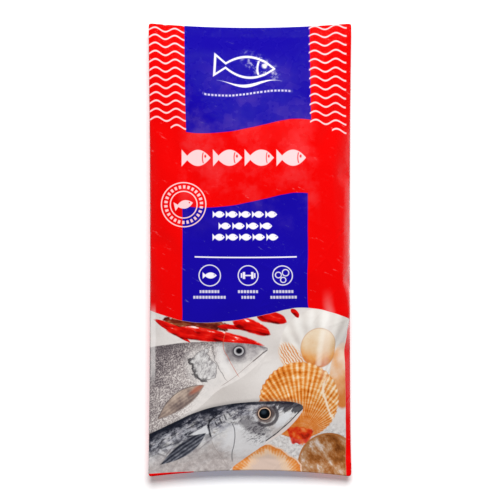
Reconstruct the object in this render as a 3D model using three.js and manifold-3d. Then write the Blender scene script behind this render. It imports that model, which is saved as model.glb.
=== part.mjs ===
// A pillow pack of printed plastic film, sealed round one whole frozen mackerel, lying on its back.
// X runs across the pack, Y along it with the top of the print at +Y, and Z up. Millimetres.
// The origin is the middle of the footprint, on the surface that the pack rests on.
//
// The film is one web: folded round into a tube, closed along the back by a fin seal, and pinched
// shut at both ends. A sealed hollow can't be one closed body, so the web is drawn as a front and a
// back panel that meet at the side folds, with the three seals as bands of fused film.

import * as THREE from 'three';
import { mergeVertices } from 'three/addons/utils/BufferGeometryUtils.js';
import Module from 'manifold-3d';

const wasm = await Module();
wasm.setup();

// Driving dimensions of the pack.
const packWidth = 180; // flat width of the tube
const packLength = 402; // cut length, end seals included
const filmWall = 0.4; // drawn wall; the film itself is about 0.09
const sealBand = 10; // height of each end seal
const finWidth = 12; // width of the fin seal, folded flat to one side
const gap = 0.3; // clearance between neighbouring solids

// How far the full pack pulls in from its flat outline.
const sidePull = 1.8; // each side, at half length
const topPull = 4; // top edge, at the middle
const bottomPull = 5.8; // bottom edge, at the middle
const flattening = 1.3; // how much fuller the back is than the front before the surface stops it

// Driving dimensions of the fish.
const fishLength = 325; // snout to the tips of the tail
const fishDepth = 56; // back to belly, which lies across the pack
const fishThickness = 29; // flank to flank, which stands up in the pack
const finPlate = 1.6; // drawn thickness of a fin

const halfWidth = packWidth / 2;
const halfLength = packLength / 2;
const sealThickness = 2 * filmWall;
const finLift = sealThickness + gap; // how far the back film rises over the fin seal
const clearance = 0.8; // film to fish
const fishBottom = finLift + filmWall + clearance;
const middleHeight = fishBottom + fishThickness / 2; // height of the side folds and end seals
const snoutY = -fishLength / 2;
const panelEnd = halfLength - sealBand - gap;

// A smooth curve through values at rising stations, as a function.
function curveThrough(stations, values) {
  const curve = new THREE.CubicInterpolant(stations, values, 1, new Float32Array(1));
  return (at) => curve.evaluate(at)[0];
}

// Half of the fish's depth, as a share of its greatest, along its length from the snout.
const bodyStations = [0, 0.02, 0.07, 0.15, 0.25, 0.38, 0.52, 0.66, 0.78, 0.86, 0.9];
const bodyShares = [0.03, 0.2, 0.5, 0.78, 0.95, 1, 0.92, 0.66, 0.34, 0.15, 0.13];
const bodyShare = curveThrough(bodyStations, bodyShares);

// The ridge that the fish makes under the film: how tall and how broad it is along the pack.
const tallest = fishThickness / 2 + clearance;
const broadest = fishDepth / 2 + clearance;
const ridgeStations = [-186, -150, -110, -60, 0, 50, 100, 150, 187];
const ridgeHeight = curveThrough(
  ridgeStations,
  [0, 0.56, 0.9, 1, 1, 0.92, 0.72, 0.4, 0].map((share) => share * tallest),
);
const ridgeBreadth = curveThrough(
  ridgeStations,
  [0.3, 0.62, 0.92, 1, 1, 0.97, 0.95, 1.15, 1].map((share) => share * broadest),
);

// Where a point of the flat film lies in plan, once the pack is full.
function plan(across, along) {
  const side = across / halfWidth;
  const end = along / halfLength;
  const endPull = (end > 0 ? topPull : bottomPull) * (1 - side * side) * Math.abs(end) ** 3;
  return [across - side * sidePull * (1 - end * end), along - Math.sign(end) * endPull];
}

// How far the film stands off the middle plane: over the ridge it follows an ellipse, and from there
// it runs straight to the side fold.
function bulge(x, y) {
  const tall = Math.max(ridgeHeight(y), 0);
  const broad = ridgeBreadth(y);
  const touch = (broad * broad) / halfWidth;
  const at = Math.abs(x);
  if (at < touch) {
    return tall * Math.sqrt(1 - (at / broad) ** 2);
  }
  const touchHeight = tall * Math.sqrt(1 - (touch / broad) ** 2);
  return touchHeight * Math.max(1 - (at - touch) / (halfWidth - sidePull - touch), 0);
}

// The back film lies flat where the fish presses it on the surface, and arches over the fin seal.
function backOuter(x, y) {
  const lifted = THREE.MathUtils.smoothstep(finWidth + 3 - Math.abs(x - finWidth / 2), 0, finWidth / 2);
  return Math.max(middleHeight - gap / 2 - filmWall - flattening * bulge(x, y), finLift * lifted);
}

// A slab over a rectangle of the flat film: bottomAt gives the height of its lower face.
function slab(acrossFrom, acrossTo, alongFrom, alongTo, columns, rows, thickness, bottomAt) {
  const box = new THREE.BoxGeometry(acrossTo - acrossFrom, alongTo - alongFrom, thickness, columns, rows, 1);
  box.translate((acrossFrom + acrossTo) / 2, (alongFrom + alongTo) / 2, thickness / 2);
  const spots = box.attributes.position;
  for (let i = 0; i < spots.count; i++) {
    const [x, y] = plan(spots.getX(i), spots.getY(i));
    spots.setXYZ(i, x, y, bottomAt(x, y) + spots.getZ(i));
  }
  return box;
}

function frontPanel() {
  return slab(-halfWidth, halfWidth, -panelEnd, panelEnd, 24, 32, filmWall,
    (x, y) => middleHeight + gap / 2 + bulge(x, y));
}

function backPanel() {
  return slab(-halfWidth, halfWidth, -panelEnd, panelEnd, 30, 32, filmWall, backOuter);
}

function finSeal() {
  return slab(0, finWidth, -panelEnd, panelEnd, 3, 32, sealThickness,
    (x, y) => backOuter(x, y) - gap - sealThickness);
}

function endSeal(side) {
  const inner = side * (halfLength - sealBand);
  const outer = side * halfLength;
  return slab(-halfWidth, halfWidth, Math.min(inner, outer), Math.max(inner, outer), 24, 2, sealThickness,
    () => middleHeight - sealThickness / 2);
}

// A closed three.js geometry as a manifold-3d solid, and back.
function solidOf(geometry) {
  const bare = geometry.index ? geometry.toNonIndexed() : geometry.clone();
  bare.deleteAttribute('normal');
  bare.deleteAttribute('uv');
  const merged = mergeVertices(bare, 1e-4);
  return new wasm.Manifold(new wasm.Mesh({
    numProp: 3,
    vertProperties: merged.attributes.position.array,
    triVerts: new Uint32Array(merged.index.array),
  }));
}

function geometryOf(solid) {
  const { vertProperties, triVerts } = solid.getMesh();
  return new THREE.BufferGeometry()
    .setAttribute('position', new THREE.BufferAttribute(vertProperties, 3))
    .setIndex(new THREE.BufferAttribute(triVerts, 1));
}

// The fish lies on its flank: snout at -Y, back at -X and belly at +X.
const bodyEnd = bodyStations.at(-1);
const alongFish = (share) => snoutY + share * fishLength;
const halfDepthAt = (share) => (fishDepth / 2) * bodyShare(share);

function fishBody() {
  const steps = 26;
  const outline = [new THREE.Vector2(0, alongFish(0))];
  for (let i = 0; i <= steps; i++) {
    const share = bodyEnd * (i / steps) ** 1.3;
    outline.push(new THREE.Vector2(halfDepthAt(share), alongFish(share)));
  }
  outline.push(new THREE.Vector2(0, alongFish(bodyEnd)));
  return new THREE.LatheGeometry(outline, 28).scale(1, 1, fishThickness / fishDepth);
}

// A fin is a thin plate in the fish's own plane, drawn as an outline and rooted inside the body.
function finPlateOf(points) {
  const outline = new THREE.Shape(points.map(([x, y]) => new THREE.Vector2(x, y)));
  return new THREE.ExtrudeGeometry(outline, { depth: finPlate, bevelEnabled: false })
    .translate(0, 0, -finPlate / 2);
}

// A fin on the back (side -1) or belly (side 1), from one share of the length to another.
function edgeFin(side, from, to, height) {
  const peak = from + 0.3 * (to - from);
  const root = (share) => side * (halfDepthAt(share) - 2);
  return finPlateOf([
    [root(from), alongFish(from)],
    [side * (halfDepthAt(peak) + height), alongFish(peak)],
    [root(to), alongFish(to)],
  ]);
}

function tailFin() {
  const spread = 31;
  const root = halfDepthAt(bodyEnd) - 0.5;
  return finPlateOf([
    [-root, alongFish(0.87)],
    [root, alongFish(0.87)],
    [0.55 * spread, alongFish(0.935)],
    [spread, alongFish(1)],
    [0.35 * spread, alongFish(0.962)],
    [0, alongFish(0.938)],
    [-0.35 * spread, alongFish(0.962)],
    [-spread, alongFish(1)],
    [-0.55 * spread, alongFish(0.935)],
  ]);
}

function mackerel() {
  const back = -1;
  const belly = 1;
  const fins = [
    tailFin(),
    edgeFin(back, 0.29, 0.39, 6),
    edgeFin(back, 0.56, 0.65, 5),
    edgeFin(belly, 0.59, 0.67, 5),
  ];
  const finlets = 5;
  for (let i = 0; i < finlets; i++) {
    const from = 0.69 + i * 0.035;
    fins.push(edgeFin(back, from, from + 0.028, 3), edgeFin(belly, from, from + 0.028, 3));
  }
  const whole = fins.reduce((solid, fin) => solid.add(solidOf(fin)), solidOf(fishBody()));
  return geometryOf(whole).translate(0, 0, middleHeight);
}

const printedFilm = new THREE.MeshStandardMaterial({ color: 0xe30b0d, roughness: 0.28, metalness: 0 });
const fishSkin = new THREE.MeshStandardMaterial({ color: 0x6f7f8c, roughness: 0.3, metalness: 0.2 });

const pieces = [
  ['front_panel', frontPanel(), printedFilm],
  ['back_panel', backPanel(), printedFilm],
  ['fin_seal', finSeal(), printedFilm],
  ['top_end_seal', endSeal(1), printedFilm],
  ['bottom_end_seal', endSeal(-1), printedFilm],
  ['mackerel', mackerel(), fishSkin],
];

const pack = new THREE.Group();
for (const [name, geometry, material] of pieces) {
  const mesh = new THREE.Mesh(geometry, material);
  mesh.name = name;
  pack.add(mesh);
}

export default pack;
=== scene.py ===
import math

import bmesh
import bpy
from mathutils import Matrix, Vector, noise


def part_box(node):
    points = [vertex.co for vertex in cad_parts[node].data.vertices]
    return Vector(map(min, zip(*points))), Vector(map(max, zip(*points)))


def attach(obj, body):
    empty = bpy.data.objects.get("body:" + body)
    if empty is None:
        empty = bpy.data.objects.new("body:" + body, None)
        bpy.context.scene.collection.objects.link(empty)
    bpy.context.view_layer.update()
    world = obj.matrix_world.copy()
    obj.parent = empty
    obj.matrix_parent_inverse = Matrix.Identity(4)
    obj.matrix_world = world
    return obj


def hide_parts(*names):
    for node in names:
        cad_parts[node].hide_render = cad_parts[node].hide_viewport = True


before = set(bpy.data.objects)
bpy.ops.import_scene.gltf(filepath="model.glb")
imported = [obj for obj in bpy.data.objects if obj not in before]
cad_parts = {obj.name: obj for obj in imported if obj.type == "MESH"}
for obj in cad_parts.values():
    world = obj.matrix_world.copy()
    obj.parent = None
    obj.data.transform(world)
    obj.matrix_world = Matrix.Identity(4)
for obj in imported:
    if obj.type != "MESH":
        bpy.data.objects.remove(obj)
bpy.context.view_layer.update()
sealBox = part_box("top_end_seal")
middle = (sealBox[0][2] + sealBox[1][2]) / 2  # height of the side folds and the end seals
print("frame loaded, side folds at", round(middle, 4))


# the film

film = {
    "width": 0.180,  # flat, across the tube
    "length": 0.402,  # cut length, end seals included
    "columns": 40,
    "rows": 74,
    "sealRows": 2,  # rows of the grid in each end seal
    "finWidth": 0.012,  # the seam folded flat on the back
    "sidePull": 0.0018,  # how far the full pack pulls in from its flat outline, each side and each end
    "topPull": 0.004,
    "bottomPull": 0.0058,
    "wall": 0.00012,
    "finish": 2,  # levels of subdivision once the film has settled
}

settling = {
    "scale": 10,  # the film settles ten times larger, where cloth behaves better
    "frames": 60,
    "stiffness": 120,
    "bending": 2,
    "sealBending": 60,
    "pressure": 0.045,
    "airEnds": 0.176,  # no air presses past here
    "start": 0.0165,  # half height that it starts from
    "ground": 0.0016,  # leaves room for the seam under the film
    "unevenness": 0.0012,  # where the creases begin
    "easing": 14,  # how far the ends are smoothed afterwards
}


def flatGrid():
    bm = bmesh.new()
    bmesh.ops.create_grid(bm, x_segments=film["columns"], y_segments=film["rows"], size=1)
    halfWidth, halfLength = film["width"] / 2, film["length"] / 2
    column = film["width"] / film["columns"]
    for v in bm.verts:
        v.co.x *= halfWidth
        v.co.y *= halfLength
        if abs(v.co.x - film["finWidth"]) < column / 2:  # one line of the grid follows the fin seal's edge
            v.co.x = film["finWidth"]
    return bm


# front and back share the side folds and the end seals; the seals are single layers of welded film
def pillow():
    bm = flatGrid()
    panel = bm.faces.layers.int.new("panel")
    sealed = film["length"] / 2 - film["sealRows"] * film["length"] / film["rows"]
    for f in bm.faces:
        f[panel] = 0 if abs(f.calc_center_median().y) < sealed else 2
    tube = [f for f in bm.faces if f[panel] == 0]
    made = bmesh.ops.duplicate(bm, geom=tube)["geom"]
    back = [f for f in made if isinstance(f, bmesh.types.BMFace)]
    for f in back:
        f[panel] = 1
    bmesh.ops.reverse_faces(bm, faces=back)
    copied = {v for f in back for v in f.verts}
    rim = [v for v in copied if v.is_boundary]
    fronts = {tuple(round(c, 6) for c in v.co): v for v in bm.verts if v not in copied}
    bmesh.ops.weld_verts(bm, targetmap={v: fronts[tuple(round(c, 6) for c in v.co)] for v in rim})
    bm.verts.index_update()
    return bm


# where the film starts: a little fuller than it ends, and clear of the fish
def filled(flat, side):
    halfWidth, halfLength = film["width"] / 2, film["length"] / 2
    across, along = flat.x / halfWidth, flat.y / halfLength
    tall = settling["start"] * max(1 - across ** 2, 0) ** 0.7 * max(1 - abs(along / 0.95) ** 3, 0)
    uneven = settling["unevenness"] * noise.noise(Vector((flat.x * 40, flat.y * 40, side * 3)))
    return Vector((
        flat.x * (1 - 0.018 * (1 - along ** 2)),
        flat.y - math.copysign(0.004, along) * (1 - across ** 2) * abs(along) ** 3,
        middle + side * tall + uneven * (1 - across ** 2) * (1 - along ** 8),
    ))


def collider(name, mesh, scale):
    other = bpy.data.objects.new(name, mesh)
    bpy.context.collection.objects.link(other)
    other.scale = (scale, scale, scale)
    other.modifiers.new("Collision", "COLLISION")
    other.collision.thickness_outer = 0.02
    other.collision.cloth_friction = 5
    return other


def settle(fish):
    scale = settling["scale"]
    bm = pillow()
    panel = bm.faces.layers.int["panel"]
    backs = {v.index for f in bm.faces if f[panel] == 1 for v in f.verts}
    fronts = {v.index for f in bm.faces if f[panel] == 0 for v in f.verts}
    sealedVerts = {v.index for f in bm.faces if f[panel] == 2 for v in f.verts}
    flat = [v.co.copy() for v in bm.verts]
    mesh = bpy.data.meshes.new("settlingFilm")
    bm.to_mesh(mesh)
    bm.free()
    body = bpy.data.objects.new("settlingFilm", mesh)
    bpy.context.collection.objects.link(body)
    body.shape_key_add(name="Basis")
    cut = body.shape_key_add(name="cut")
    for i, at in enumerate(flat):
        onFold = i in backs and i in fronts
        side = 0 if onFold else (-1 if i in backs else 1)
        place = filled(at, side) * scale
        mesh.vertices[i].co = place
        body.data.shape_keys.key_blocks["Basis"].data[i].co = place
        cut.data[i].co = at * scale
    inflated = body.vertex_groups.new(name="inflated")
    for i, at in enumerate(flat):  # the ends past the fish lie nearly flat
        inflated.add([i], min(max((settling["airEnds"] - abs(at.y)) / 0.06, 0), 1), "REPLACE")
    stiffer = body.vertex_groups.new(name="stiffer")
    stiffer.add(sorted(sealedVerts), 1, "REPLACE")

    ground = bpy.data.meshes.new("settlingGround")
    gm = bmesh.new()
    bmesh.ops.create_grid(gm, x_segments=1, y_segments=1, size=0.6)
    bmesh.ops.translate(gm, verts=gm.verts, vec=(0, 0, settling["ground"]))
    gm.to_mesh(ground)
    gm.free()
    helpers = [collider("settlingGround", ground, scale), collider("settlingFish", fish.data.copy(), scale)]

    cloth = body.modifiers.new("Cloth", "CLOTH")
    s = cloth.settings
    s.quality = 8
    s.mass = 0.15
    s.air_damping = 3
    s.tension_stiffness = s.compression_stiffness = settling["stiffness"]
    s.shear_stiffness = settling["stiffness"] / 3
    s.bending_stiffness = settling["bending"]
    s.tension_damping = s.compression_damping = s.shear_damping = 15
    s.bending_damping = 2
    s.bending_stiffness_max = settling["sealBending"]
    s.vertex_group_bending = "stiffer"
    s.rest_shape_key = cut
    s.use_pressure = True
    s.uniform_pressure_force = settling["pressure"]
    s.vertex_group_pressure = "inflated"
    s.effector_weights.gravity = 0
    c = cloth.collision_settings
    c.use_collision = True
    c.use_self_collision = False
    c.distance_min = 0.006
    c.collision_quality = 3
    scene = bpy.context.scene
    cloth.point_cache.frame_start, cloth.point_cache.frame_end = 1, settling["frames"]
    last = settling["frames"]
    for f in range(1, last + 1):
        scene.frame_set(f)
    seen = body.evaluated_get(bpy.context.evaluated_depsgraph_get())
    places = [seen.data.vertices[i].co / scale for i in range(len(flat))]
    for spare in helpers + [body]:
        bpy.data.objects.remove(spare)
    scene.frame_set(1)
    return fitted(flat, squared(flat, places))


# turns and shifts the settled film back square to the axes
def squared(flat, places):
    count = len(flat)
    middleX = sum(p.x for p in places) / count
    middleY = sum(p.y for p in places) / count
    turned = sum(f.x * (p.y - middleY) - f.y * (p.x - middleX) for f, p in zip(flat, places))
    along = sum(f.x * (p.x - middleX) + f.y * (p.y - middleY) for f, p in zip(flat, places))
    turn = Matrix.Rotation(-math.atan2(turned, along), 3, "Z")
    return [turn @ Vector((p.x - middleX, p.y - middleY, p.z)) for p in places]


# draws the settled film out to the pack's outline
def fitted(flat, places):
    halfWidth, halfLength = film["width"] / 2, film["length"] / 2
    shares = [(round(f.x / halfWidth, 4), round(f.y / halfLength, 4)) for f in flat]
    slack = {}
    for (side, end), p in zip(shares, places):
        if abs(side) == 1:
            slack["fold", side, end] = side * (halfWidth - film["sidePull"] * (1 - end * end)) - p.x
        if abs(end) == 1:
            pull = film["topPull"] if end > 0 else film["bottomPull"]
            slack["edge", end, side] = end * (halfLength - pull * (1 - side * side)) - p.y
    drawnOut = []
    for (side, end), p in zip(shares, places):
        across = (slack["fold", -1, end] * (1 - side) + slack["fold", 1, end] * (1 + side)) / 2
        near = min(max((abs(end) - 0.6) / 0.4, 0), 1)
        along = slack["edge", math.copysign(1, end), side] * near * near * (3 - 2 * near)
        edge = halfWidth - film["sidePull"] * (1 - end * end)  # nothing bulges out past the folds
        drawnOut.append(Vector((min(max(p.x + across, -edge), edge), p.y + along, p.z)))
    return drawnOut


# the film leaves its end seals in a soft curve, and the side folds run on into them
def easeEnds(bm, onFold):
    panel = bm.faces.layers.int["panel"]
    for v in {v for f in bm.faces if f[panel] == 2 for v in f.verts}:
        v.co.z = middle + (v.co.z - middle) * 0.3
    for _ in range(settling["easing"]):
        near = [v for v in bm.verts if abs(v.co.y) > 0.165 and not v.is_boundary]
        bmesh.ops.smooth_vert(bm, verts=near, factor=0.5, use_axis_x=False, use_axis_y=False, use_axis_z=True)
    for side in (-1, 1):
        fold = sorted((v for v in bm.verts if v.co.x * side > 0 and v.index in onFold), key=lambda v: v.co.y)
        for _ in range(12):
            eased = [(a.co.x + 2 * b.co.x + c.co.x) / 4 for a, b, c in zip(fold, fold[1:], fold[2:])]
            for v, x in zip(fold[1:-1], eased):
                v.co.x = x




# inks: shader arithmetic on a flat place of the film, in millimetres

# A number that varies over the film. A mask runs from 0 to 1: & keeps what is in both, | what is in
# either, and ~ turns it over.
class Ink:
    def __init__(self, tree, socket):
        self.tree, self.socket = tree, socket

    def __add__(self, other):
        return sums(self.tree, "ADD", self, other)

    __radd__ = __add__

    def __sub__(self, other):
        return sums(self.tree, "SUBTRACT", self, other)

    def __rsub__(self, other):
        return sums(self.tree, "SUBTRACT", other, self)

    def __mul__(self, other):
        return sums(self.tree, "MULTIPLY", self, other)

    __rmul__ = __mul__

    def __truediv__(self, other):
        return sums(self.tree, "DIVIDE", self, other)

    def __and__(self, other):
        return sums(self.tree, "MULTIPLY", self, other)

    def __or__(self, other):
        return sums(self.tree, "MAXIMUM", self, other)

    def __invert__(self):
        return sums(self.tree, "SUBTRACT", 1, self)

    def __abs__(self):
        return sums(self.tree, "ABSOLUTE", self)


def plug(tree, value, socket):
    if isinstance(value, Ink):
        tree.links.new(value.socket, socket)
    else:
        socket.default_value = value


def sums(tree, operation, *values):
    node = tree.nodes.new("ShaderNodeMath")
    node.operation = operation
    for value, socket in zip(values, node.inputs):
        plug(tree, value, socket)
    return Ink(tree, node.outputs[0])


def cosine(angle):
    return sums(angle.tree, "COSINE", angle)


def least(a, b):
    return sums(a.tree, "MINIMUM", a, b)


def most(a, b):
    return sums(a.tree, "MAXIMUM", a, b)


# 1 where distance is under 0, 0 over it, with a soft edge
def within(distance, soft=0.35):
    return spread(distance, soft * 0.6, soft * -0.6, 0, 1)


# value's range drawn out over another, in a smooth step, or straight on past both ends
def spread(value, low, high, toLow=0.0, toHigh=1.0, straight=False):
    node = value.tree.nodes.new("ShaderNodeMapRange")
    node.interpolation_type = "LINEAR" if straight else "SMOOTHSTEP"
    node.clamp = False
    plug(value.tree, value, node.inputs["Value"])
    for name, number in (("From Min", low), ("From Max", high), ("To Min", toLow), ("To Max", toHigh)):
        node.inputs[name].default_value = number
    return Ink(value.tree, node.outputs["Result"])


# value wrapped round to the nearest repeat of pitch
def repeat(value, pitch):
    return sums(value.tree, "WRAP", value, pitch / 2, -pitch / 2)


# a smooth line through points, as a function of value
def through(value, points):
    lowX, highX = points[0][0], points[-1][0]
    lowY = min(y for _, y in points)
    highY = max(y for _, y in points)
    at = spread(value, lowX, highX, straight=True)
    node = value.tree.nodes.new("ShaderNodeFloatCurve")
    line = node.mapping.curves[0]
    for i, (x, y) in enumerate(points):
        spot = ((x - lowX) / (highX - lowX), (y - lowY) / (highY - lowY))
        if i == 0:
            line.points[0].location = spot
        elif i == len(points) - 1:
            line.points[-1].location = spot
        else:
            line.points.new(*spot)
    node.mapping.update()
    plug(value.tree, at, node.inputs["Value"])
    return Ink(value.tree, node.outputs["Value"]) * (highY - lowY) + lowY


# a * x + b * y + c
def mixed(x, y, a, b, c):
    return sums(x.tree, "MULTIPLY_ADD", x, a, sums(y.tree, "MULTIPLY_ADD", y, b, c))


# A flat position, which can be moved, turned and stretched. Its x and y are plain numbers, and the
# noise reads its vector, so that nothing here needs one kind of value turned into another.
class Place:
    def __init__(self, x, y, vector=None, spot=None):
        self.tree, self.x, self.y, self.vector, self.spot = x.tree, x, y, vector, spot

    def moved(self, x, y, degrees=0, wide=1, tall=1):
        c, s = math.cos(math.radians(degrees)), math.sin(math.radians(degrees))
        return Place(mixed(self.x, self.y, c / wide, s / wide, -(x * c + y * s) / wide),
                     mixed(self.x, self.y, -s / tall, c / tall, (x * s - y * c) / tall),
                     self.vector, (x, y, degrees, wide, tall))

    def away(self, x=0.0, y=0.0):
        across = self.x - x if x else self.x
        along = self.y - y if y else self.y
        square = sums(self.tree, "MULTIPLY_ADD", along, along, across * across)
        return sums(self.tree, "SQRT", square)

    def angle(self):
        return sums(self.tree, "ARCTAN2", self.x, self.y)

    def seen(self):
        if not self.spot:
            return self.vector
        x, y, degrees, wide, tall = self.spot
        node = self.tree.nodes.new("ShaderNodeMapping")
        node.vector_type = "TEXTURE"
        node.inputs["Location"].default_value = (x, y, 0)
        node.inputs["Rotation"].default_value = (0, 0, math.radians(degrees))
        node.inputs["Scale"].default_value = (wide, tall, 1)
        self.tree.links.new(self.vector, node.inputs["Vector"])
        return node.outputs["Vector"]

    # drift runs through the noise as well, as a fourth direction
    def grain(self, scale, detail=2.0, rough=0.5, drift=None):
        vector = self.seen()
        node = self.tree.nodes.new("ShaderNodeTexNoise")
        node.inputs["Scale"].default_value = scale
        node.inputs["Detail"].default_value = detail
        node.inputs["Roughness"].default_value = rough
        self.tree.links.new(vector, node.inputs["Vector"])
        if drift:
            node.noise_dimensions = "4D"
            plug(self.tree, drift, node.inputs["W"])
        return Ink(self.tree, node.outputs["Fac"])

    def cells(self, scale, feature="F1"):
        vector = self.seen()
        node = self.tree.nodes.new("ShaderNodeTexVoronoi")
        node.feature = feature
        node.inputs["Scale"].default_value = scale
        self.tree.links.new(vector, node.inputs["Vector"])
        return Ink(self.tree, node.outputs["Distance"])


# a place in millimetres, from a socket in metres, slipped along x
def placed(tree, metres, slip=0.0):
    scaled = tree.nodes.new("ShaderNodeVectorMath")
    scaled.operation = "MULTIPLY_ADD"
    scaled.inputs[1].default_value = (1000, 1000, 1000)
    scaled.inputs[2].default_value = (slip, 0, 0)
    tree.links.new(metres, scaled.inputs[0])
    split = tree.nodes.new("ShaderNodeSeparateXYZ")
    tree.links.new(scaled.outputs["Vector"], split.inputs[0])
    return Place(Ink(tree, split.outputs["X"]), Ink(tree, split.outputs["Y"]), scaled.outputs["Vector"])


def shade(red, green, blue):
    def linear(value):
        value /= 255
        return value / 12.92 if value <= 0.04045 else ((value + 0.055) / 1.055) ** 2.4
    return (linear(red), linear(green), linear(blue), 1)


def ramp(value, stops):
    node = value.tree.nodes.new("ShaderNodeValToRGB")
    band = node.color_ramp
    for i, (at, colour) in enumerate(stops):
        stop = band.elements[i] if i < 2 else band.elements.new(at)
        stop.position, stop.color = at, shade(*colour)
    plug(value.tree, value, node.inputs["Fac"])
    return Ink(value.tree, node.outputs["Color"])


class Print:  # colours laid over one another
    def __init__(self, tree, colour):
        self.tree, self.colour = tree, shade(*colour)

    def lay(self, mask, colour, strength=1.0, blend="MIX"):
        amount = mask * strength if strength != 1 else mask
        node = self.tree.nodes.new("ShaderNodeMix")
        node.data_type = "RGBA"
        node.blend_type = blend
        sockets = [s for s in node.inputs if s.type == "RGBA"]
        plug(self.tree, amount, node.inputs["Factor"])
        plug(self.tree, self.colour, sockets[0])
        plug(self.tree, colour if isinstance(colour, Ink) else shade(*colour), sockets[1])
        out = [s for s in node.outputs if s.type == "RGBA"][0]
        self.colour = Ink(self.tree, out)


# marks shared by the front and the back

inks = {
    "red": (232, 6, 6),
    "blue": (24, 10, 158),
    "white": (246, 240, 250),
    "blush": (255, 208, 210),
    "stroke": 1.45,
    "columnCentre": -2.6,
    "columnWidth": 111.2,
    "pictureEnd": 85.3,  # where the picture stops, short of the right fold
}

# the one wave that every band of the print ends in
waveShape = [
    (-90, 3.9), (-72.7, -1.7), (-58.5, -5.3), (-44.3, -6.6), (-24.8, -5.6), (-4.4, -2.2), (16, 2.3),
    (29.3, 5.3), (40, 6.5), (51.4, 5.7), (63, 3.0), (77, -1.7), (85, -4.5), (90, -6),
]


# a plain fish, about two units long, nose to +x: how far outside it, its eye, and the place to scale
def fishGlyph(at, size):
    p = at.moved(0, 0, 0, size, size)
    body = abs(p.y) - (0.36 - (p.x - 0.12) * (p.x - 0.12) * 0.5)
    tail = most(most(abs(p.y) + p.x * 0.75 + 0.36, p.x + 0.52), -0.98 - p.x)
    whole = least(body, tail)
    return whole, within(p.away(0.62, 0.07) - 0.07, 0.06), p


def stroke(distance, width, soft=0.35):
    return within(abs(distance) - width / 2, soft)


def bar(at, x, y, halfWide, halfTall):
    return within(most(abs(at.x - x) - halfWide, abs(at.y - y) - halfTall))


def dashes(at, x, y, halfWide, halfTall, pitch, fill):
    return bar(at, x, y, halfWide, halfTall) & within(abs(repeat(at.x - x, pitch)) - pitch * fill / 2)
# the printed front

def fishRow(art, at, y, length, count, pitch, centre, colour, tall=1.0, gill=None):
    first = centre if count % 2 else centre + pitch / 2
    row = Place(repeat(at.x - first, pitch), (at.y - y) / tall)
    whole, eye, p = fishGlyph(row, length / 2)
    inRow = within(most(abs(at.x - centre) - count * pitch / 2, abs(at.y - y) - length * 0.4))
    art.lay(within(whole, 0.8 / length) & ~eye & inRow, colour)
    if gill:
        art.lay(stroke(p.away(0.95, 0) - 0.52, 0.07, 0.05) & within(abs(p.y) - 0.24, 0.04) & inRow, gill)


# a column of waves down each side, each with a part of one more wave below it
def waves(art, at, wave, picture):
    for centre, pitch, period, crest, low, high, extra in (
        (-84.0, 7.2, 17.4, 118.3, -91, -58.2, -71.8),
        (57.1, 7.72, 19.0, 115.8, 52.0, 85.8, 72.2),
    ):
        shape = at.y - cosine((at.x - centre) * (2 * math.pi / period)) * 1.9 - (crest - 1.9)
        lines = stroke(repeat(shape, pitch), inks["stroke"])
        floor = least(-3.0 - shape, most(extra - at.x, -10.6 - shape))
        across = most(low - at.x, at.x - high)
        art.lay(lines & within(floor) & within(across), inks["blush"])


def panels(art, at, wave, picture):
    upper = within(abs(at.x - inks["columnCentre"]) - inks["columnWidth"] / 2) & within(wave + 110.1 - at.y)
    right = through(at.y, [(-70, 46.2), (-44, 45.9), (0, 47.7), (36, 48.6), (60, 48.8)])
    lower = within(most(-61.7 - at.x, at.x - right)) & within(at.y - wave - 44.2)
    art.lay(upper | lower, inks["blue"])


# the head of the pack: an outlined fish over a brush wave and a dotted one
def badges(art, at, wave, picture):
    mark = at.moved(-5, 163, -4)
    whole, eye, p = fishGlyph(mark, 28)
    art.lay(stroke(whole + 0.03, 0.07, 0.02) & within(mark.away() - 34), inks["white"])
    gill = stroke(p.away(1.0, 0) - 0.6, 0.06, 0.02) & within(most(abs(p.y) - 0.22, p.x - 0.9), 0.03)
    art.lay(eye | gill, inks["white"])
    sweep = at.y - cosine((at.x - 20) * (math.pi / 26)) * 2.6 - 148.6
    brush = spread(abs(at.x + 1), 0, 29, 1.5, 0.0) * 0.9
    art.lay(within(abs(sweep) - brush) & within(abs(at.x + 1) - 29), inks["white"])
    swell = through(at.x, [(-43, 2.2), (-22, -0.8), (-10, 0), (10, 2.6), (24, 3.6), (37, 2.8)])
    art.lay(dashes(Place(at.x, at.y - swell), -3, 138.2, 39.5, 0.85, 3.1, 0.6), inks["white"], 0.7)


# a row of large fish, then three rows of small ones over a rule
def names(art, at, wave, picture):
    fishRow(art, at, 81.6, 26.5, 4, 28, -7.3, inks["blush"], 1.5, inks["red"])
    fishRow(art, at, 31.5, 10.8, 5, 11.5, -6.5, inks["white"], 1.45)
    fishRow(art, at, 21.3, 11, 4, 12.1, -6.1, inks["white"], 1.45)
    fishRow(art, at, 11.5, 11, 5, 11.7, -6.4, inks["white"], 1.45)
    bow = at.y + 6.4 - (at.x + 6.6) * (at.x + 6.6) * 0.0003
    art.lay(within(most(abs(bow) - 0.55, abs(at.x + 6.6) - 44.3)), inks["white"])


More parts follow.
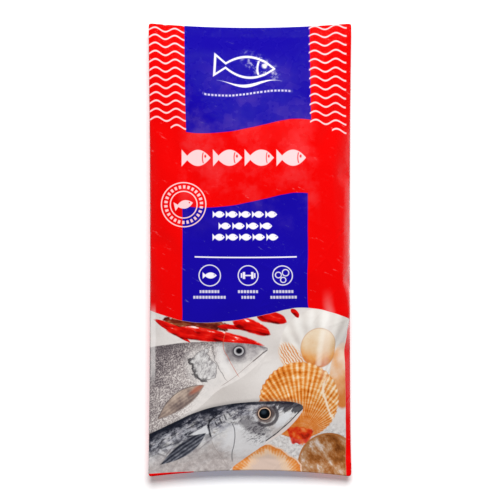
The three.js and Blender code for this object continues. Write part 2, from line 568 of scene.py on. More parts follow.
# three round signs over dashes: a fish, a weight and bubbles
def signs(art, at, wave, picture):
    for x, size in ((-37.9, 9.2), (-4.7, 8.6), (25.1, 8.4)):
        art.lay(stroke(at.away(x, -22.2) - size, 0.85), inks["white"], 0.85)
    fishRow(art, at, -22.2, 12.4, 1, 40, -37.9, inks["white"], 1.2)
    weight = Place(abs(at.x + 4.7), at.y)
    plates = bar(weight, 3.6, -22.2, 1.0, 3.0)
    art.lay(bar(weight, 0, -22.2, 3.2, 0.55) | plates | bar(weight, 5.7, -22.2, 0.6, 2.0), inks["white"], 0.9)
    for x, y, size in ((21.5, -21.8, 2.5), (27.7, -19.8, 2.8), (25.5, -26.1, 2.3)):
        art.lay(stroke(at.away(x, y) - size, 0.8), inks["white"], 0.85)
    for x, half, lowerHalf in ((-38.3, 8.4, 13.9), (-5.1, 8.6, 5.7), (25.3, 8.6, 11.7)):
        art.lay(dashes(at, x, -36.4, half, 1.2, 2.6, 0.74), inks["white"], 0.7)
        art.lay(dashes(at, x, -41.4, lowerHalf, 1.2, 2.6, 0.74), inks["white"], 0.7)


# a stamp across the panel's edge: two rings, a ring of dots and a small fish
def stamp(art, at, wave, picture):
    seal = at.moved(-60.4, 40.2, 12)
    out = seal.away()
    art.lay(stroke(out - 19.5, 0.9) | stroke(out - 11.8, 0.9), inks["blush"])
    turn = repeat(seal.angle() * 15.7, 2 * math.pi * 15.7 / 26)
    art.lay(within(most(abs(turn) - 1.0, abs(out - 15.7) - 1.4)), inks["blush"], 0.9)
    fishRow(art, seal, 0, 17, 1, 40, 0, inks["blush"], 1.2)


# the picture: fish, shells and claws on crushed ice

def ice(art, at, wave, picture):
    art.lay(picture, ramp(at.grain(0.3, 6, 0.72), [
        (0.3, (158, 154, 158)), (0.45, (205, 200, 198)), (0.6, (232, 229, 227)), (0.75, (248, 247, 246))]))
    smooth = within(-154 - at.y + (at.grain(0.06, 2) - 0.5) * 30, 14)
    melt = ramp(at.grain(0.018, 2), [(0.3, (208, 200, 195)), (0.6, (226, 220, 216))])
    art.lay(picture & smooth, melt, 0.93)


def crayfish(art, at, wave, picture):
    gloss = at.moved(0, 0, -14, 3.4, 1).grain(0.24, 3, 0.5)
    dark = ramp(at.moved(0, 0, -10, 3, 1).grain(0.3, 4) + wave * 0.001, [
        (0.34, (44, 10, 8)), (0.5, (112, 34, 22)), (0.62, (150, 84, 50)), (0.72, (206, 172, 150))])
    nest = at.moved(-48, -65.5, -5, 30, 6.5)
    ragged = (at.grain(0.2, 3) - 0.5) * 1.1
    art.lay(within(nest.away() - 1 + ragged, 0.16) & picture, dark)
    # half the length and thickness of each leg and claw, tapering to its tip
    for x, y, degrees, halfLong, halfTall in (
        (-67, -71, -33, 19, 2.2), (-70, -66, -20, 15, 1.7), (-40, -71, -14, 17, 1.9),
        (-30, -76.3, -9.3, 43, 5.5), (-14, -68, -4, 15, 2.0), (1, -67.4, -20, 18, 5.6),
        (17.5, -59.2, -14, 14, 5.2), (37, -55.6, -48, 5.2, 2.2),
    ):
        claw = at.moved(x, y, degrees, halfLong, halfTall)
        taper = (1 - claw.x * claw.x * claw.x * claw.x) * (1 - claw.x * 0.2)
        pod = abs(claw.y + claw.x * claw.x * 0.25) - taper + ragged * 0.2
        shell = ramp(gloss + claw.y * 0.12 - 0.02, [
            (0.28, (110, 4, 4)), (0.4, (196, 10, 8)), (0.56, (230, 22, 14)), (0.64, (240, 62, 46)),
            (0.68, (255, 226, 220))])
        art.lay(within(most(pod, abs(claw.x) - 1), 0.2) & picture, shell)


def bass(art, at, wave, picture):
    top = through(at.x, [(-92, -88.5), (-71, -83.4), (-44, -81.1), (-9, -82.2), (8, -84.4), (15.5, -87.6)])
    under = through(at.x, [(-92, -172), (-70, -160), (-53, -148), (-40, -137), (-27, -124.5), (-13, -116.6),
                           (0, -107.7), (10.6, -97.1), (15.5, -88.2)])
    depth = (top - at.y) / (top - under)
    body = within(at.y - top, 0.8) & within(under - at.y, 1.2) & within(at.x - 15.2) & picture
    # fine scales in slanting rows, dark on the back, washed pale towards the belly and the head
    cups = at.moved(0, 0, -38, 1, 1.5).cells(1.05)
    patch = at.grain(0.05, 5, 0.65)
    speck = at.grain(0.7, 4, 0.75)
    scales = depth * 0.42 + (cups - 0.4) * 0.9 + (patch - 0.5) * 0.9 + (speck - 0.5) * 0.6
    art.lay(body, ramp(scales + spread(at.x, -80, -34, 0.08, 0.44), [
        (0.0, (80, 72, 77)), (0.25, (124, 114, 116)), (0.5, (166, 156, 155)), (0.75, (206, 197, 193)),
        (1.0, (233, 227, 223))]))
    art.lay(within(depth - 0.06, 0.16) & body, (74, 66, 70), 0.55)
    # the head is smooth and paler, and whitest at the throat
    throat = within(-33 - at.x + (at.y + 105) * 0.55 + (patch - 0.5) * 20, 13)
    face = ramp(depth * 0.75 + (at.grain(0.13, 5, 0.7) - 0.5) * 1.1 + 0.16, [
        (0.0, (78, 72, 76)), (0.16, (128, 121, 124)), (0.36, (178, 172, 173)), (0.6, (219, 214, 211)),
        (1.0, (236, 229, 225))])
    art.lay(throat & body, face, 0.92)
    chin = within(-20 - at.x) & within(under + 2.6 - at.y, 3.5) & ~within(under - at.y, 1.2)
    art.lay(chin & body, (196, 128, 116), 0.35)
    # gill cover: a crumpled plate behind a dark crescent, then the pale cheek
    cover = at.moved(-41, -103, 22, 10.8, 12.6)
    crumple = (at.grain(0.075, 4, 0.6) - 0.5) * 1.5
    shaky = most(abs(cover.x), abs(cover.y)) * 0.65 + cover.away() * 0.42 - 1 + crumple
    plate = ramp(at.moved(0, 0, 60, 1.8, 1).grain(0.3, 5, 0.75), [
        (0.3, (98, 93, 97)), (0.42, (158, 154, 156)), (0.52, (206, 203, 202)), (0.66, (238, 236, 234))])
    art.lay(within(cover.away() - 1.35 + (patch - 0.5), 0.5) & body, (222, 217, 214), 0.55)
    art.lay(within(shaky, 0.1) & body, plate, 0.9)
    art.lay(within(abs(shaky) - 0.03, 0.07) & body, (92, 84, 88), 0.75)
    crescent = within(abs(shaky + 0.08) - 0.1, 0.12) & within(cover.x + 0.3 + cover.y * 0.2, 0.5)
    art.lay(crescent & body, (42, 37, 41), 0.85)
    collar = at.x - through(at.y, [(-124, -12), (-112, -20.5), (-100, -27.5), (-90, -30.5), (-80, -31)])
    wander = (at.grain(0.13, 4, 0.6) - 0.5) * 6
    pale = within(abs(collar - 4.4 + wander * 0.6) - 3.6, 4) & within(abs(at.y + 98) - 14, 7)
    art.lay(pale & body, (236, 232, 230), 0.7)
    line = within(abs(collar + 1.2 + wander) - 0.35, 0.9) & within(abs(at.y + 100) - 16, 5)
    art.lay(line & body, (74, 68, 72), 0.7)
    # mouth, jaw and eye
    mouth = at.moved(9, -93.4, 40)
    art.lay(within(abs(mouth.y) - 0.5) & within(abs(mouth.x) - 8, 2) & body, (74, 66, 70), 0.8)
    jaw = at.y - through(at.x, [(-26, -121.5), (-14, -113.2), (-4, -104.5), (5, -96.5), (13, -89.5)])
    art.lay(within(abs(jaw) - 0.35, 0.6) & within(abs(at.x + 6) - 18, 4) & body, (140, 118, 114), 0.6)
    eye = at.moved(-9.6, -89.2, 0, 1, 0.92)
    art.lay(within(eye.away(-1.5, -2) - 9 + wander, 5) & body, (120, 114, 118), 0.6)
    art.lay(within(eye.away(0, -0.6) - 6.4 + wander * 0.25, 1.6) & body, (96, 90, 96), 0.8)
    art.lay(within(eye.away() - 5.2, 0.8), (58, 54, 60))
    art.lay(within(eye.away() - 4.3, 0.6), (184, 182, 184))
    art.lay(within(eye.away(0.2, 0.2) - 2.9, 0.8), (78, 74, 80))
    art.lay(within(eye.away(0.2, 0.2) - 2.2, 0.6), (20, 20, 26))
    # pectoral fin: a soft fan of rays with a rusty root
    fin = at.moved(-60, -134.5, 37, 25, 7.4)
    blade = abs(fin.y + fin.x * fin.x * 0.2 - 0.1) - (1 - fin.x * fin.x) * (1 + fin.x * 0.15)
    rays = cosine(fin.y * 17 + at.grain(0.15, 3) * 3) * 0.05 + at.grain(0.12, 5, 0.65) * 0.9 + fin.y * 0.18
    art.lay(within(most(blade, abs(fin.x) - 1), 0.2) & picture, ramp(rays, [
        (0.2, (104, 90, 88)), (0.4, (142, 124, 116)), (0.6, (184, 164, 150)), (0.8, (212, 192, 176))]))
    lowEdge = within(abs(blade) - 0.06, 0.14) & within(abs(fin.x) - 0.98, 0.05) & within(-0.1 - fin.y, 0.3)
    art.lay(lowEdge & picture, (70, 60, 60), 0.75)
    art.lay(within(fin.away(0.74, 0.05) - 0.3, 0.3) & within(blade, 0.2) & picture, (170, 88, 62), 0.75)


def shells(art, at, wave, picture):
    # a pale scallop behind
    pale = at.moved(59, -84, 0)
    ribs = cosine(Place(at.x - 62, at.y + 122).angle() * 34) * 0.5 + 0.5
    art.lay(within(pale.away() - 33, 1.2) & picture, ramp(ribs * 0.28 + at.grain(0.06, 4) * 0.9 - 0.06, [
        (0.1, (196, 188, 182)), (0.45, (224, 218, 212)), (0.8, (242, 238, 233))]))
    tufts = at.moved(37, -97, -58, 17, 9)
    hairs = cosine((tufts.y + (at.grain(0.2, 2) - 0.5) * 0.4) * 26)
    art.lay(within(tufts.away() - 1, 0.25) & picture, (232, 214, 192), 0.7)
    art.lay(within(0.1 - hairs, 0.8) & within(tufts.away() - 0.95, 0.3) & picture, (214, 128, 52), 0.85)
    # peach shell at the right
    peach = at.moved(84, -112, 0, 14, 30)
    art.lay(within(peach.away() - 1, 0.1) & picture, ramp(at.grain(0.05, 3) + (at.y + 112) * 0.012, [
        (0.25, (214, 128, 60)), (0.5, (236, 176, 122)), (0.75, (240, 218, 198))]))
    # a cream shell, round, going orange at the foot and the rim
    ball = at.moved(59.4, -86.4, 0, 15.2, 17.6)
    cream = ball.y * 0.36 + 0.56 + at.grain(0.1, 4, 0.6) * 0.5 - 0.25 - ball.away() * 0.16
    art.lay(within(ball.away() - 1, 0.07) & picture, ramp(cream + cosine(ball.x * 9 + ball.y) * 0.03, [
        (0.08, (205, 108, 34)), (0.25, (226, 160, 92)), (0.48, (226, 192, 152)), (0.8, (240, 224, 200))]))
    art.lay(stroke(ball.away() - 1, 0.05, 0.05) & picture, (196, 138, 84), 0.5)
    gleam = within(abs(at.x - 61 - (at.y + 86) * 0.06) - 2.2, 3) & within(ball.away() - 0.92, 0.1)
    art.lay(gleam & picture, (250, 243, 232), 0.5)
    # the orange fan: ribs from the hinge, broken up by darker and paler bands
    hinge = Place(at.x - 47, at.y + 165)
    fan = at.away(44.2, -134.2)
    far = hinge.away()
    turn = hinge.angle()
    beat = turn * 76 + (at.grain(0.05, 2) - 0.5) * 3
    edge = 35 + cosine(beat) * 0.45
    ears = most(abs(hinge.x) - 8 - hinge.y * 0.5, abs(hinge.y - 4) - 9)
    isFan = within(fan - edge, 0.8) | within(ears, 0.8)
    streak = at.grain(0.05, 4, 0.75, turn * 520)
    band = at.grain(0.06, 5, 0.7, far * 3.6)
    warm = cosine(beat) * 0.13 + streak * 0.5 + band * 1.1 + hinge.x * 0.003 + far * 0.002 - 0.38
    art.lay(isFan & picture, ramp(warm, [
        (0.16, (158, 70, 12)), (0.34, (210, 112, 30)), (0.48, (228, 146, 66)), (0.62, (240, 190, 130)),
        (0.8, (250, 230, 202))]))
    deep = ramp(streak, [(0.3, (204, 88, 16)), (0.7, (232, 136, 54))])
    art.lay(within(far - 24, 26) & isFan & picture, deep, 0.6)
    art.lay(stroke(fan - edge, 0.8, 1.2) & isFan & picture, (168, 92, 34), 0.4)
    chip = at.x - through(at.y, [(-152, 76), (-144, 71), (-134, 67.5), (-124, 64.5), (-112, 68)])
    scar = within(abs(chip) - 0.9 + (at.grain(0.3, 3) - 0.5) * 4, 1.2) & within(abs(at.y + 134) - 20, 4)
    art.lay(scar & isFan, (250, 236, 214), 0.8)
    ragged = hinge.y - 7 + abs(hinge.x + 3) * 0.3 + (at.grain(0.12, 3) - 0.5) * 12
    foot = within(most(ragged, abs(hinge.x + 1) - 10.5 - hinge.y * 0.35), 1.4)
    foot = foot & within(-9.5 - hinge.y + (at.grain(0.2, 2) - 0.5) * 8, 1)
    art.lay(foot & picture, ramp(at.grain(0.14, 3), [
        (0.35, (160, 18, 8)), (0.48, (216, 40, 18)), (0.6, (232, 92, 34)), (0.7, (240, 150, 90))]), 0.95)
    # a glassy brown shell in the corner
    disc = at.away(72.4, -191)
    art.lay(within(disc - 27.4) & picture, ramp(at.moved(0, 0, 35, 1, 1.6).grain(0.07, 5, 0.7), [
        (0.34, (112, 58, 22)), (0.46, (158, 96, 46)), (0.55, (184, 142, 106)), (0.63, (212, 196, 186)),
        (0.76, (238, 236, 238))]))
    art.lay(stroke(disc - 26.6, 1.6, 0.8) & picture, (176, 112, 60), 0.85)


def mackerel(art, at, wave, picture):
    top = through(at.x, [(-92, -165), (-66, -153.4), (-45, -143.9), (-25, -138.5), (-4, -135.8),
                         (16, -134.8), (36, -135.2), (43, -136.8), (47.2, -140.8)])
    under = through(at.x, [(-92, -214), (-30, -208), (-9, -193.9), (5, -183.0), (16, -174.8),
                           (26.6, -167.0), (31, -163.4), (37.7, -156.0), (44.3, -147.2), (47.2, -141.6)])
    depth = (top - at.y) / (top - under)
    body = within(at.y - top, 0.6) & within(under - at.y, 0.6) & within(at.x - 46.8) & picture
    art.lay(within(abs(at.y - top + 0.5) - 2.6, 3.5) & within(at.x - 46, 2) & picture, (96, 90, 92), 0.35)
    mottle = at.moved(0, 0, 26, 1.9, 1).grain(0.13, 7, 0.74)
    art.lay(body, ramp(depth * 1.15 + (mottle - 0.5) * 2.5 + 0.07 + spread(at.x, -48, -12, 0, 0.16), [
        (0.0, (26, 28, 38)), (0.1, (52, 54, 66)), (0.24, (104, 104, 115)), (0.4, (160, 158, 166)),
        (0.58, (205, 203, 205)), (0.8, (226, 224, 223)), (1.0, (196, 188, 185))]))
    # wavy dark bars down the back, behind the head
    bars = cosine((at.x * 0.86 + (at.y + 150) * 0.5) * 0.55 + at.grain(0.07, 3) * 9)
    barred = within(0.1 - bars, 0.5) & within(depth - 0.45, 0.3) & within(at.x + 34, 12)
    art.lay(barred & body, (36, 38, 50), 0.55)
    net = at.moved(0, 0, 24, 1.5, 1).cells(0.075, "DISTANCE_TO_EDGE")
    netted = within(net - 0.035, 0.05) & within(depth - 0.6, 0.2) & within(at.x + 30, 18)
    art.lay(netted & body, (46, 48, 60), 0.6)
    ridge = within(top - 2.6 - at.y + (at.grain(0.12, 3) - 0.5) * 4, 1.6) & within(at.x - 40, 6)
    art.lay(ridge & body, (28, 31, 42), 0.88)
    fine = at.moved(0, 0, 28, 2.6, 1).grain(0.3, 5, 0.75)
    art.lay(within(0.56 - fine, 0.05) & within(depth - 0.36, 0.2) & body, (26, 28, 38), 0.65)
    art.lay(within(fine - 0.45, 0.06) & within(abs(depth - 0.3) - 0.18, 0.12) & body, (200, 201, 209), 0.6)
    # belly, soft and greyish pink
    belly = within(at.y + 176 - (at.x + 40) * 0.25 + (mottle - 0.5) * 30, 16) & within(at.x + 12, 24)
    art.lay(belly & body, ramp(at.grain(0.2, 5, 0.7), [
        (0.3, (128, 118, 118)), (0.5, (172, 162, 160)), (0.7, (208, 200, 197))]), 0.8)
    # a lighter head with its cover, jaw and mouth
    cheek = at.moved(-1, -170, 18, 24, 18)
    art.lay(within(cheek.away() - 0.9 + (mottle - 0.5) * 1.4, 0.5) & body, (228, 227, 229), 0.8)
    shine = at.moved(29.5, -152, 49, 13, 4.6)
    art.lay(within(shine.away() - 0.8, 0.4) & body, (232, 233, 237), 0.7)
    dusk = at.moved(3, -158, -30, 16, 7)
    art.lay(within(dusk.away() - 0.9 + (mottle - 0.5) * 2.4, 0.5) & body, (88, 80, 88), 0.68)
    nose = at.moved(36, -139.6, -12, 13, 4.2)
    streaky = at.moved(0, 0, 58, 2.6, 1).grain(0.22, 4, 0.7)
    art.lay(within(nose.away() - 1.15 + (streaky - 0.5) * 4, 0.4) & body, (44, 40, 50), 0.88)
    # the dark fold that runs from the eye down to the corner of the mouth
    socket = at.moved(14.3, -147.3)
    crease = within(abs(socket.away() - 10 + (streaky - 0.5) * 2.4) - 1.5, 1)
    art.lay(crease & within(socket.y - socket.x * 1.2 - 1, 4) & body, (50, 44, 52), 0.85)
    hatch = within(0.53 - at.moved(0, 0, 34, 2.6, 1).grain(0.5, 5, 0.75), 0.07)
    art.lay(hatch & within(at.away(8, -164) - 11, 12) & body, (62, 56, 66), 0.85)
    freckle = within(0.55 - at.grain(0.35, 5, 0.75), 0.08)
    art.lay(freckle & within(at.moved(-12, -148, 12, 26, 9).away() - 0.9, 0.5) & body, (66, 64, 74), 0.75)
    cover = at.x - through(at.y, [(-196, -13), (-186, -14.6), (-176, -13), (-166, -12.4), (-156, -15),
                                  (-150, -20)])
    art.lay(within(abs(cover) - 0.4, 0.6) & within(abs(at.y + 173) - 19, 3) & body, (70, 68, 76), 0.8)
    fold = at.x - through(at.y, [(-196, -19), (-186, -25), (-176, -31.5), (-166, -34)])
    art.lay(within(abs(fold) - 0.35, 0.6) & within(abs(at.y + 184) - 12, 3) & body, (150, 138, 134), 0.6)
    hook = at.x - through(at.y, [(-172, -33), (-164, -34.5), (-156, -35.6), (-149, -30), (-144, -20)])
    hooked = within(abs(hook) - 0.9 + (at.grain(0.2, 3) - 0.5) * 2.4, 0.8) & within(abs(at.y + 157) - 12, 4)
    art.lay(hooked & body, (24, 26, 36), 0.9)
    flecks = at.moved(-24, -152, 38, 10, 3).away()
    flecked = within(0.62 - cosine(at.x * 1.2 + at.y * 0.5), 0.4) & within(flecks - 1, 0.5)
    art.lay(flecked & body, (34, 34, 44), 0.8)
    # a pale lip under the dark line of the mouth
    mouth = at.y - through(at.x, [(13, -173.6), (22.2, -166.9), (28.8, -160.3), (36.6, -152.2),
                                  (42.1, -145.7), (46.6, -140.9)])
    art.lay(within(mouth + 1, 1.2) & within(14 - at.x, 4) & body, (232, 219, 214), 0.9)
    lips = within(abs(mouth) - 0.6 + (at.grain(0.2, 3) - 0.5) * 1.2, 0.6) & within(abs(at.x - 30.5) - 16, 2)
    art.lay(lips & body, (30, 32, 42), 0.95)
    # the eye
    ring = at.moved(13.1, -146.2)
    rim = within(ring.away(0.8, -0.6) - 8.2 + (at.grain(0.25, 3) - 0.5) * 3, 2.2)
    art.lay(rim & body, (112, 94, 90), 0.9)
    art.lay(within(ring.away(4.5, 2) - 6.0, 2.5) & within(ring.x * -1 + 4, 2) & body, (58, 50, 54), 0.6)
    art.lay(within(ring.away() - 6.5, 0.9), (58, 46, 46))
    art.lay(within(ring.away() - 5.7), (216, 182, 158))
    art.lay(within(ring.away() - 4.8), (10, 12, 18))
    art.lay(within(ring.away(-0.8, 1.4) - 1.6, 2.4), (58, 72, 86), 0.7)
    # the pectoral fin, with the white of its root
    root = at.moved(-43, -162.6, 16)
    wedge = most(abs(root.y + 0.6) - (root.x + 9) * 0.27, root.x - 6.5) + (mottle - 0.5) * 5
    art.lay(within(wedge, 1.2) & body, (232, 232, 235), 0.92)
    fin = at.moved(-57.5, -178.6, 34, 24, 6.2)
    taper = (1 - fin.x * fin.x) * (1 + fin.x * 0.2)
    blade = most(abs(fin.y - fin.x * fin.x * 0.22 + 0.1) - taper, abs(fin.x) - 1)
    rays = cosine(fin.y * 13 + at.grain(0.1, 2) * 3) * 0.16 + at.grain(0.2, 4, 0.65) * 0.8
    art.lay(within(blade, 0.16) & picture, ramp(rays + 0.06 - fin.y * 0.12, [
        (0.25, (38, 40, 50)), (0.42, (66, 68, 78)), (0.6, (98, 100, 110)), (0.8, (150, 150, 158))]))


def rimShell(art, at, wave, picture):
    feeler = at.x - through(at.y, [(-116, -9.5), (-106, -15.5), (-95, -21.5), (-84, -26), (-70, -23)])
    art.lay(within(abs(feeler) - 0.3) & within(abs(at.y + 93) - 19, 3) & picture, (196, 92, 66), 0.75)
    shell = at.moved(15, -203, 0, 29, 26)
    lobes = shell.away() - 1 + cosine(at.x * 0.2) * 0.05 + (at.grain(0.08, 3) - 0.5) * 0.26
    comb = cosine(Place(at.x - 18, at.y + 216).angle() * 80) * 0.06
    flesh = lobes * -1.6 + (at.grain(0.12, 5, 0.7) - 0.5) * 0.9 + comb + 0.07
    art.lay(within(lobes, 0.05) & within(-16 - at.x, 2) & picture, ramp(flesh, [
        (0.0, (206, 150, 104)), (0.12, (216, 118, 42)), (0.3, (224, 150, 84)), (0.5, (232, 198, 166)),
        (0.9, (214, 190, 176))]))
    art.lay(within(abs(lobes + 0.015) - 0.02, 0.03) & within(-12 - at.x, 2) & picture, (232, 206, 184), 0.9)


def footStrip(art, at, wave, picture):
    art.lay(within(most(at.y + 198.4 + (at.x + 89) * 0.045, at.x + 50)), inks["red"])


frontSteps = (
    panels, waves, badges, names, signs, stamp,
    ice, shells, crayfish, bass, rimShell, mackerel, footStrip,
)


# the back: the same bands and waves, and a blank panel for a label

def backLabel(art, at, wave, picture):
    label = most(abs(at.x - 48) - 26, abs(at.y + 20) - 46)
    art.lay(within(label), (238, 236, 232))
    art.lay(stroke(label + 2.5, 0.6), (150, 150, 160), 0.6)
    fishRow(art, at, 81.6, 26.5, 4, 28, -5.8, inks["blush"], 1.5, inks["red"])


# a place on the flat film, from the piece's own map
def flatPlace(tree, slip=0.0):
    flat = tree.nodes.new("ShaderNodeUVMap")
    flat.uv_map = "print"
    return placed(tree, flat.outputs["UV"], slip)


# how far the picture's parts lie to the left of where the film lies flat, in millimetres
slips = {"shells": 2.6, "crayfish": 2.6, "bass": 2.6, "mackerel": 1.8}


# a drawing as a chain of node groups, one for each step, which the film and its seals share
def drawn(name, steps):
    tree = bpy.data.node_groups.new(name, "ShaderNodeTree")
    tree.interface.new_socket("Colour", in_out="OUTPUT", socket_type="NodeSocketColor")
    colour = None
    for step in steps:
        inner = bpy.data.node_groups.new(name + "_" + step.__name__, "ShaderNodeTree")
        inner.interface.new_socket("Under", in_out="INPUT", socket_type="NodeSocketColor")
        inner.interface.new_socket("Over", in_out="OUTPUT", socket_type="NodeSocketColor")
        flat = at = flatPlace(inner)
        if step.__name__ in slips:
            at = flatPlace(inner, slips[step.__name__])
        art = Print(inner, inks["red"])
        art.colour = Ink(inner, inner.nodes.new("NodeGroupInput").outputs[0])
        wave = through(flat.x, waveShape)
        picture = within(flat.y - wave + 57.3) & within(flat.x + (flat.y + 200) * 0.016 - inks["pictureEnd"])
        step(art, at, wave, picture)
        inner.links.new(art.colour.socket, inner.nodes.new("NodeGroupOutput").inputs[0])
        use = tree.nodes.new("ShaderNodeGroup")
        use.node_tree = inner
        use.inputs[0].default_value = shade(*inks["red"])
        if colour:
            tree.links.new(colour, use.inputs[0])
        colour = use.outputs[0]
    tree.links.new(colour, tree.nodes.new("NodeGroupOutput").inputs[0])
    print(name, "drawn in", len(steps), "steps")
    return tree


surface = {
    "roughness": 0.24,
    "gloss": 0.35,
    "coat": 0.06,
    "creaseDepth": 0.0004,
    "haze": 0.055,
    "ribPitch": 1.1,  # of the sealing jaws, in millimetres
}


def filmMaterial(name, drawing, hazed=False, ribbed=False):
    made = bpy.data.materials.new(name)
    made.use_nodes = True
    tree = made.node_tree
    shader = tree.nodes["Principled BSDF"]
    at = flatPlace(tree)
    art = Print(tree, inks["red"])
    if drawing:
        printed = tree.nodes.new("ShaderNodeGroup")
        printed.node_tree = drawing
        art.colour = Ink(tree, printed.outputs[0])
    if hazed:
        # frost on the film over the printed column, a slanting patch of white specks near the head of the
        # pack, and faint scratches over the whole film
        cloud = spread(at.grain(0.035, 4, 0.6), 0.42, 0.72)
        middleBand = within(abs(at.x + 3) - 60, 8) & within(abs(at.y - 95) - 60, 50)
        art.lay(cloud & middleBand, (255, 190, 200), surface["haze"])
        specks = spread(at.grain(0.16, 5, 0.75), 0.5, 0.62)
        art.lay(specks & within(at.moved(9, 164, -32, 22, 9).away() - 0.8, 0.6), (236, 230, 246), 0.6)
        scratch = spread(at.moved(0, 0, 62, 0.5, 3).grain(0.16, 4, 0.8), 0.63, 0.72)
        art.lay(scratch, (255, 236, 238), 0.11)
        # painted reflections of the film's gloss: a pale band down the right of the picture and one down the
        # left fold
        art.lay(within(abs(at.x - 63) - 3, 5) & within(abs(at.y + 80) - 28, 34), (255, 250, 248), 0.26)
        art.lay(within(abs(at.x + 87) - 2.2, 1.5) & within(abs(at.y + 84) - 30, 14), (255, 250, 248), 0.45)
    plug(tree, art.colour, shader.inputs["Base Color"])
    rough = spread(at.grain(0.07, 3), 0.3, 0.7, surface["roughness"] - 0.05, surface["roughness"] + 0.09)
    tree.links.new(rough.socket, shader.inputs["Roughness"])
    shader.inputs["Specular IOR Level"].default_value = surface["gloss"]
    shader.inputs["Coat Weight"].default_value = surface["coat"]
    shader.inputs["Coat Roughness"].default_value = 0.12
    # soft creases, and the ribs that the sealing jaws leave
    creased = spread(at.grain(0.02, 3), 0.47, 0.6) * 0.35
    swell = at.moved(0, 0, 25, 1.6, 1).grain(0.03, 2)
    facets = at.moved(0, 0, 55, 1.7, 1).cells(0.05, "DISTANCE_TO_EDGE")
    height = swell + (~spread(facets, 0, 0.09) & creased)
    if ribbed:
        height = height + cosine(at.y * (2 * math.pi / surface["ribPitch"])) * 0.12
    bump = tree.nodes.new("ShaderNodeBump")
    bump.inputs["Strength"].default_value = 1
    bump.inputs["Distance"].default_value = surface["creaseDepth"]
    tree.links.new(height.socket, bump.inputs["Height"])
    tree.links.new(bump.outputs["Normal"], shader.inputs["Normal"])
    return made


# a sheet of film given its wall, in place of its CAD node
def finished(name, bm, material, node, wall, offset=-1.0):
    mesh = bpy.data.meshes.new(name)
    bm.to_mesh(mesh)
    bm.free()
    for p in mesh.polygons:
        p.use_smooth = True
    mesh.materials.append(material)
    piece = bpy.data.objects.new(name, mesh)
    bpy.context.collection.objects.link(piece)
    solid = piece.modifiers.new("Solidify", "SOLIDIFY")
    solid.thickness = wall
    solid.offset = offset
    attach(piece, "root")
    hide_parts(node)


# the settled film, smoothed, as one mesh that still knows its panels
def smoothFilm(fish):
    places = settle(fish)
    bm = pillow()
    printMap = bm.loops.layers.uv.new("print")
    bakeMap = bm.loops.layers.uv.new("OFBake")
    for f in bm.faces:
        for loop in f.loops:
            at = loop.vert.co
            loop[printMap].uv = (at.x, at.y)
            loop[bakeMap].uv = (at.x / film["width"] * 0.98 + 0.5, at.y / film["length"] * 0.98 + 0.5)
    onFold = {v.index for v in bm.verts if abs(abs(v.co.x) - film["width"] / 2) < 1e-5}
    for v, at in zip(bm.verts, places):
        v.co = at
    easeEnds(bm, onFold)
    crease = bm.edges.layers.float.new("crease_edge")  # the folds stay sharp
    for e in bm.edges:
        if not e.is_boundary and all(v.index in onFold for v in e.verts):
            e[crease] = 1
    mesh = bpy.data.meshes.new("smoothFilm")
    bm.to_mesh(mesh)
    bm.free()
    rough = bpy.data.objects.new("smoothFilm", mesh)
    bpy.context.collection.objects.link(rough)
    sub = rough.modifiers.new("Subdivision", "SUBSURF")
    sub.levels = sub.render_levels = film["finish"]
    sub.uv_smooth = "NONE"
    seen = rough.evaluated_get(bpy.context.evaluated_depsgraph_get())
    smooth = bpy.data.meshes.new_from_object(seen)
    bpy.data.objects.remove(rough)
    return smooth


# the faces of the film that wanted picks, from each one's panel and the middle of its print
def part(smooth, wanted):
    bm = bmesh.new()
    bm.from_mesh(smooth)
    panel = bm.faces.layers.int["panel"]
    printMap = bm.loops.layers.uv["print"]
    spare = []
    for f in bm.faces:
        near, far = f.loops[0][printMap].uv, f.loops[2][printMap].uv
        if not wanted(f[panel], (near + far) / 2):
            spare.append(f)
    bmesh.ops.delete(bm, geom=spare, context="FACES")
    return bm


def buildFilm(fish):
    smooth = smoothFilm(fish)
    frontArt = drawn("frontArt", frontSteps)
    backArt = drawn("backArt", (panels, waves, backLabel))
    frontInk = filmMaterial("frontFilm", frontArt, hazed=True)
    backInk = filmMaterial("backFilm", backArt)
    sealInk = filmMaterial("sealFilm", backArt, ribbed=True)
    finInk = filmMaterial("finFilm", None, ribbed=True)
    wall = film["wall"]
    front = part(smooth, lambda k, uv: k != 1)
    finished("front_film", front, frontInk, "front_panel", wall)
    back = part(smooth, lambda k, uv: k == 1)
    finished("back_film", back, backInk, "back_panel", wall, offset=1)
    # the front runs on over the end seals, and these are the layer welded under it
    for name, side in (("top", 1), ("bottom", -1)):
        seal = part(smooth, lambda k, uv: k == 2 and uv.y * side > 0)
        bmesh.ops.translate(seal, verts=seal.verts, vec=(0, 0, -wall * 1.2))
        finished(name + "_seal_band", seal, sealInk, name + "_end_seal", wall * 2)
    fin = part(smooth, lambda k, uv: k == 1 and -0.0001 < uv.x < film["finWidth"])
    fin.normal_update()
    printMap = fin.loops.layers.uv["print"]
    for v in fin.verts:
        across = v.link_loops[0][printMap].uv.x
        v.co += v.normal * (0.0001 + 0.0007 * min(max(across / 0.004, 0), 1))  # stands off past its weld
    finished("fin_seal_band", fin, finInk, "fin_seal", wall * 2, offset=0)
    print("film pieces made")


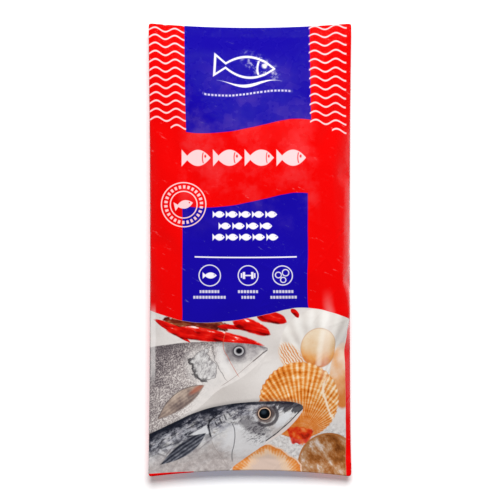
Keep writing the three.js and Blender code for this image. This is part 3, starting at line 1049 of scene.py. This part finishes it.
def fishMaterial():
    made = bpy.data.materials.new("fishSkin")
    made.use_nodes = True
    tree = made.node_tree
    shader = tree.nodes["Principled BSDF"]
    spot = tree.nodes.new("ShaderNodeTexCoord")
    at = placed(tree, spot.outputs["Object"])
    bars = cosine(at.y * 0.62 + at.grain(0.06, 3) * 9)
    art = Print(tree, inks["red"])
    art.colour = ramp(spread(at.x, -30, 30, straight=True) + at.grain(0.05, 3) * 0.16 - 0.08,
                      [(0.05, (30, 52, 62)), (0.3, (62, 98, 108)), (0.42, (168, 180, 184)),
                       (0.7, (222, 222, 220)), (1.0, (206, 204, 200))])
    art.lay(within(-0.1 - bars, 0.5) & within(at.x + 6, 5), (22, 30, 38), 0.85)
    tree.links.new(art.colour.socket, shader.inputs["Base Color"])
    shader.inputs["Roughness"].default_value = 0.28
    shader.inputs["Metallic"].default_value = 0.25
    shader.inputs["Coat Weight"].default_value = 0.6
    bump = tree.nodes.new("ShaderNodeBump")
    bump.inputs["Distance"].default_value = 0.0002
    tree.links.new(at.cells(0.7).socket, bump.inputs["Height"])
    tree.links.new(bump.outputs["Normal"], shader.inputs["Normal"])
    return made


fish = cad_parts["mackerel"]
fish.data.materials.clear()
fish.data.materials.append(fishMaterial())
buildFilm(fish)


# stage, light and camera

studio = {
    "reach": 0.443,  # height of the view at the pack
    "lens": 200,
    "floor": (0.9, 0.9, 0.9, 1),
    "glow": 0.3,  # the floor is a light table
    "walls": 1.3,
    "ceiling": 0.07,
    "lampPlace": (0.1, 0.95, 1.9),
    "lampSize": 1.0,
    "lampPower": 58,
}


def buildStage():
    bm = bmesh.new()
    bmesh.ops.create_grid(bm, x_segments=1, y_segments=1, size=6)
    mesh = bpy.data.meshes.new("floor")
    bm.to_mesh(mesh)
    bm.free()
    floor = bpy.data.objects.new("floor", mesh)
    bpy.context.collection.objects.link(floor)
    paint = bpy.data.materials.new("paleFloor")
    paint.use_nodes = True
    shader = paint.node_tree.nodes["Principled BSDF"]
    shader.inputs["Base Color"].default_value = studio["floor"]
    shader.inputs["Emission Color"].default_value = studio["floor"]
    shader.inputs["Emission Strength"].default_value = studio["glow"]
    shader.inputs["Roughness"].default_value = 0.9
    mesh.materials.append(paint)


def buildLights():
    world = bpy.data.worlds.new("studio")
    world.use_nodes = True
    tree = world.node_tree
    glow = tree.nodes["Background"]
    # soft walls of light all round, and a darker ceiling for the gloss to mirror
    direction = tree.nodes.new("ShaderNodeTexCoord")
    split = tree.nodes.new("ShaderNodeSeparateXYZ")
    tree.links.new(direction.outputs["Generated"], split.inputs[0])
    level = spread(Ink(tree, split.outputs["Z"]), 0.5, 0.86, studio["walls"], studio["ceiling"])
    tree.links.new(level.socket, glow.inputs["Strength"])
    bpy.context.scene.world = world
    light = bpy.data.lights.new("topLight", "AREA")
    light.size = studio["lampSize"]
    light.energy = studio["lampPower"]
    lamp = bpy.data.objects.new("topLight", light)
    lamp.location = studio["lampPlace"]
    lamp.visible_glossy = False  # the film mirrors the studio, not the lamp
    lamp.rotation_euler = (-lamp.location).to_track_quat("-Z", "Y").to_euler()
    bpy.context.collection.objects.link(lamp)


def buildCamera():
    lens = bpy.data.cameras.new("camera")
    lens.lens = studio["lens"]
    lens.sensor_width = 36
    camera = bpy.data.objects.new("camera", lens)
    camera.location = (0, 0, middle + studio["reach"] * lens.lens / lens.sensor_width)
    lens.clip_end = 20
    bpy.context.collection.objects.link(camera)
    bpy.context.scene.camera = camera


buildStage()
buildLights()
buildCamera()
bpy.context.scene.view_settings.view_transform = "Standard"
